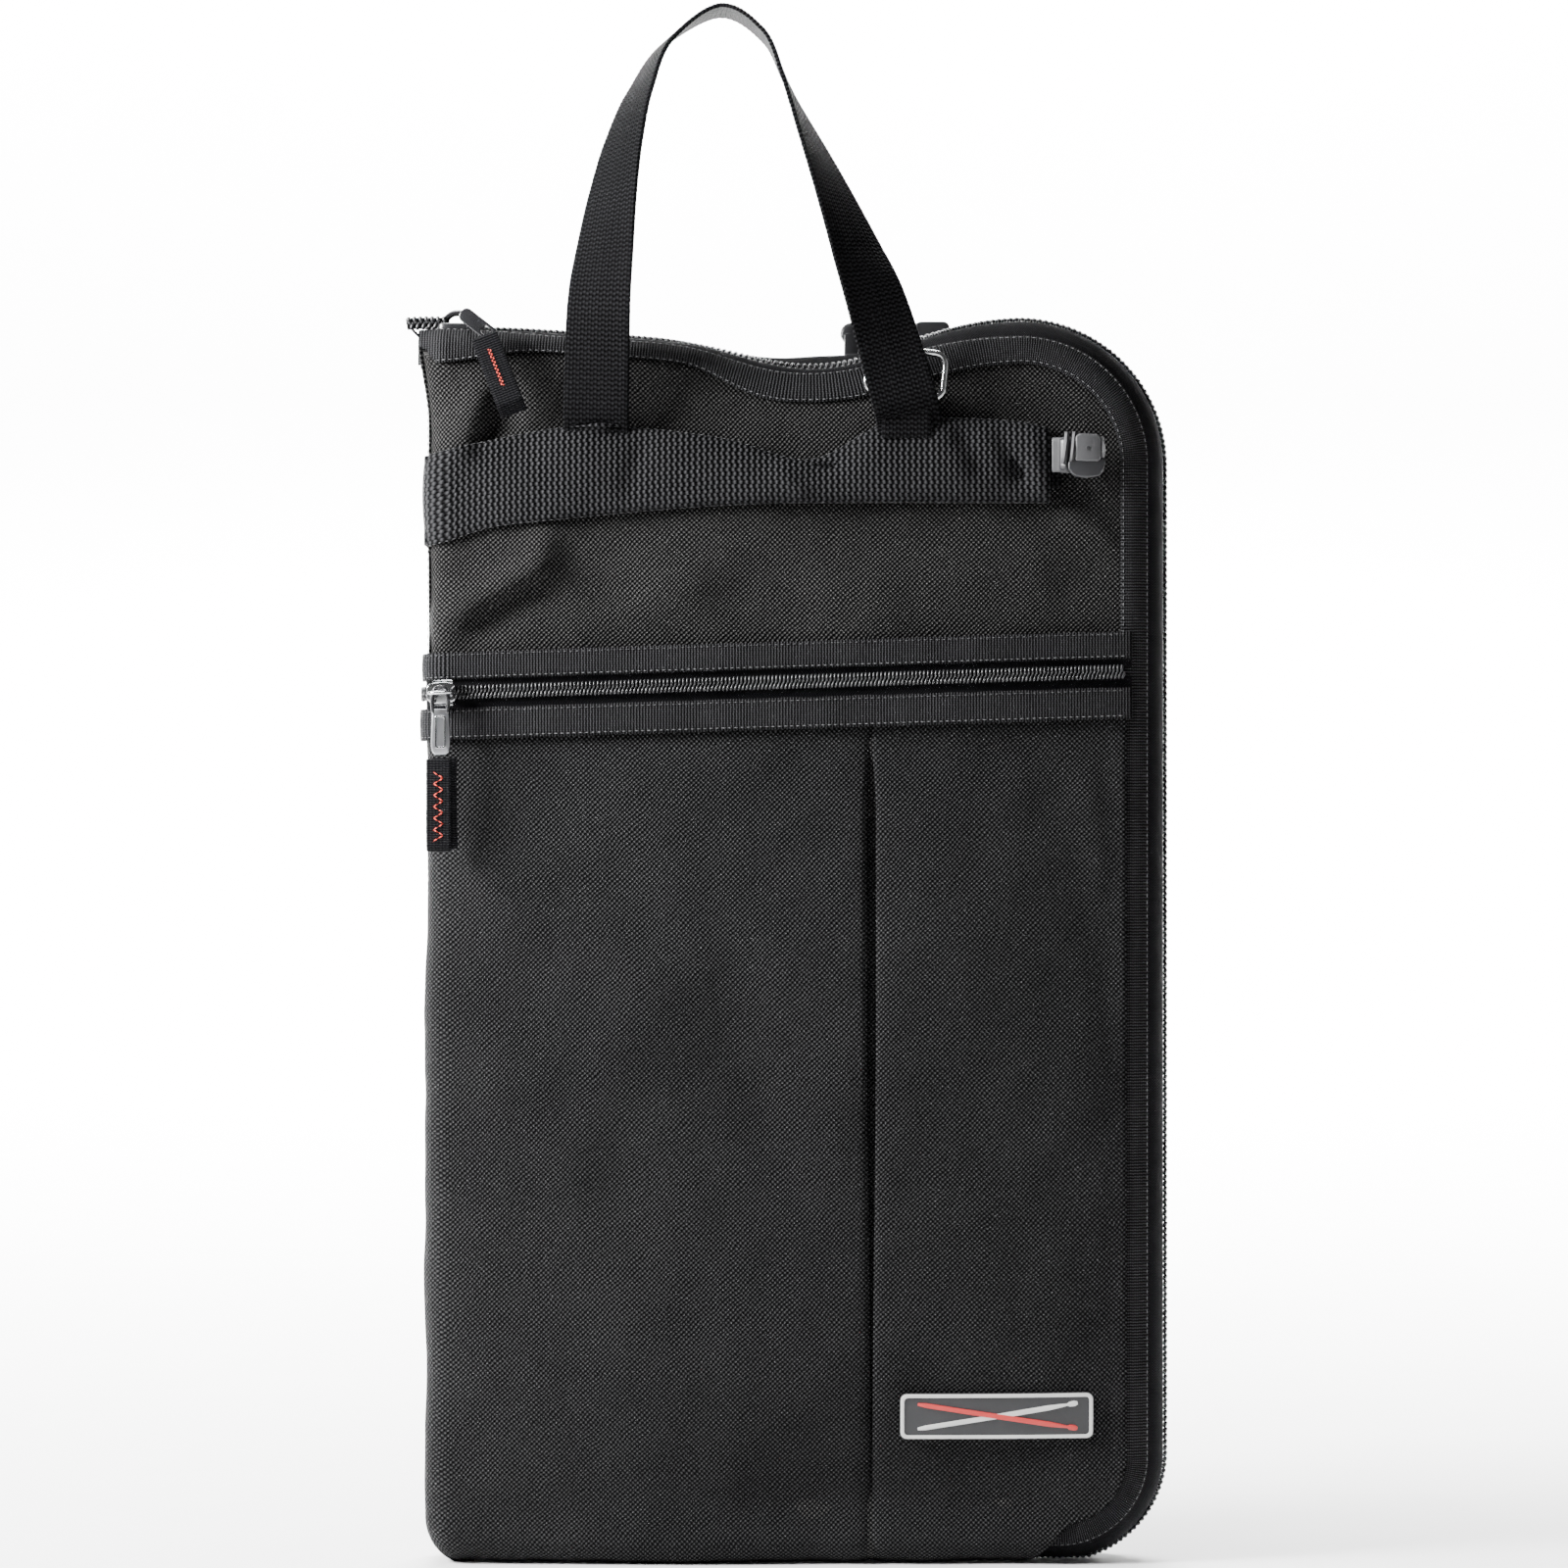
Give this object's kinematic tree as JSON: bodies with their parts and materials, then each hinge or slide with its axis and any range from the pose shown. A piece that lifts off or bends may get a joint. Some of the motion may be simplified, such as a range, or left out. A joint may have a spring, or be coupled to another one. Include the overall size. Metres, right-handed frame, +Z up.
{
  "type": "drum stick bag",
  "caption": "Flat padded fabric bag that zips round three sides and opens like a book, with a pleated front pocket, webbing handles, sleeves and hanging hooks.",
  "frame": {"origin": "on the floor under the middle of the zip chain, halfway along the bag's width", "axes": "+X from the spine to the far side, -Y out of the front pocket, +Z up through the handle"},
  "size_m": [0.298, 0.0896, 0.6088],
  "materials": {
    "polyester_shell": "coarse woven polyester, matt with a faint sheen",
    "webbing": "ribbed black webbing and tape",
    "zip_coil": "moulded nylon coil, glossy",
    "foam": "closed cell foam under the cloth",
    "lining": "thin woven lining",
    "plastic": "moulded grey plastic, satin",
    "chrome": "plated metal, polished",
    "black_metal": "black enamelled zip hardware",
    "rubber_patch": "moulded rubber patch, satin"
  },
  "bodies": {
    "back_shell": {"back_outer_panel": "polyester_shell", "back_foam_pad": "foam", "back_lining": "lining", "back_stick_pockets": "lining", "back_zip_tape": "webbing", "back_zip_coil": "zip_coil", "back_edge_binding": "webbing", "back_sleeve": "webbing", "back_hook_tab": "webbing"},
    "spine": {"spine_gusset": "polyester_shell", "spine_lining": "lining", "spine_band": "webbing", "zip_tail": "zip_coil"},
    "front_cover": {"front_outer_panel": "polyester_shell", "front_foam_pad": "foam", "front_lining": "lining", "front_stick_pockets": "lining", "front_zip_tape": "webbing", "front_zip_coil": "zip_coil", "front_edge_binding": "webbing", "front_sleeve": "webbing", "ring_loop": "webbing", "pocket_upper_binding": "webbing", "pocket_upper_tape": "webbing", "pocket_upper_coil": "zip_coil"},
    "pocket_flap": {"pocket_panel": "polyester_shell", "pocket_lower_binding": "webbing", "pocket_lower_tape": "webbing", "pocket_lower_coil": "zip_coil", "label_patch": "rubber_patch"},
    "main_slider": {"main_slider": "black_metal"},
    "main_pull": {"main_pull": "black_metal", "main_pull_tab": "webbing"},
    "pocket_slider": {"pocket_slider": "chrome"},
    "pocket_pull": {"pocket_pull": "chrome"},
    "pocket_tab": {"pocket_pull_tab": "webbing"},
    "front_handle": {"front_handle_strap": "webbing"},
    "back_handle": {"back_handle_strap": "webbing"},
    "front_ring": {"front_ring": "chrome"},
    "front_hook": {"front_hook_clip": "plastic", "front_hook_strap": "webbing"},
    "back_hook": {"back_hook_clip": "plastic"}
  },
  "joints": [
    {"name": "spine_fold", "type": "hinge", "parent": "back_shell", "child": "spine", "pos_m": [-0.143, 0.0165, 0.24], "axis": [0, 0, -1], "range_deg": [0, 90]},
    {"name": "cover_fold", "type": "hinge", "parent": "spine", "child": "front_cover", "pos_m": [-0.143, -0.0165, 0.24], "axis": [0, 0, -1], "range_deg": [0, 90]},
    {"name": "pocket_open", "type": "hinge", "parent": "front_cover", "child": "pocket_flap", "pos_m": [0, -0.0195, 0.022], "axis": [1, 0, 0], "range_deg": [0, 4]},
    {"name": "main_zip_slide", "type": "slide", "parent": "front_cover", "child": "main_slider", "axis": [1, 0, 0], "range_m": [0, 0.06]},
    {"name": "main_pull_swing", "type": "hinge", "parent": "main_slider", "child": "main_pull", "pos_m": [-0.128, -0.0237, 0.4836], "axis": [0, 1, 0], "range_deg": [-30, 40]},
    {"name": "pocket_zip_slide", "type": "slide", "parent": "pocket_flap", "child": "pocket_slider", "axis": [0.9995, 0, 0.0314], "range_m": [0, 0.248]},
    {"name": "pocket_pull_swing", "type": "hinge", "parent": "pocket_slider", "child": "pocket_pull", "pos_m": [-0.13793, -0.0298, 0.33816], "axis": [0, 1, 0], "range_deg": [-45, 45]},
    {"name": "pocket_tab_flap", "type": "hinge", "parent": "pocket_pull", "child": "pocket_tab", "pos_m": [-0.13793, -0.0298, 0.31396], "axis": [-1, 0, 0], "range_deg": [0, 75]},
    {"name": "front_handle_swing", "type": "hinge", "parent": "front_cover", "child": "front_handle", "pos_m": [0, -0.0296, 0.442], "axis": [1, 0, 0], "range_deg": [0, 150]},
    {"name": "back_handle_swing", "type": "hinge", "parent": "back_shell", "child": "back_handle", "pos_m": [0, 0.031, 0.442], "axis": [1, 0, 0], "range_deg": [0, 165]},
    {"name": "ring_swing", "type": "hinge", "parent": "front_cover", "child": "front_ring", "pos_m": [0, -0.0233, 0.453], "axis": [1, 0, 0], "range_deg": [0, 7]},
    {"name": "front_hook_slide", "type": "slide", "parent": "front_cover", "child": "front_hook", "axis": [1, 0, 0], "range_m": [0, 0.09]},
    {"name": "back_hook_swing", "type": "hinge", "parent": "back_shell", "child": "back_hook", "pos_m": [0, 0.0226, 0.4618], "axis": [-1, 0, 0], "range_deg": [0, 12]}
  ],
  "couplings": [
    {"joint": "spine_fold", "follows": "cover_fold", "ratio": 1}
  ]
}
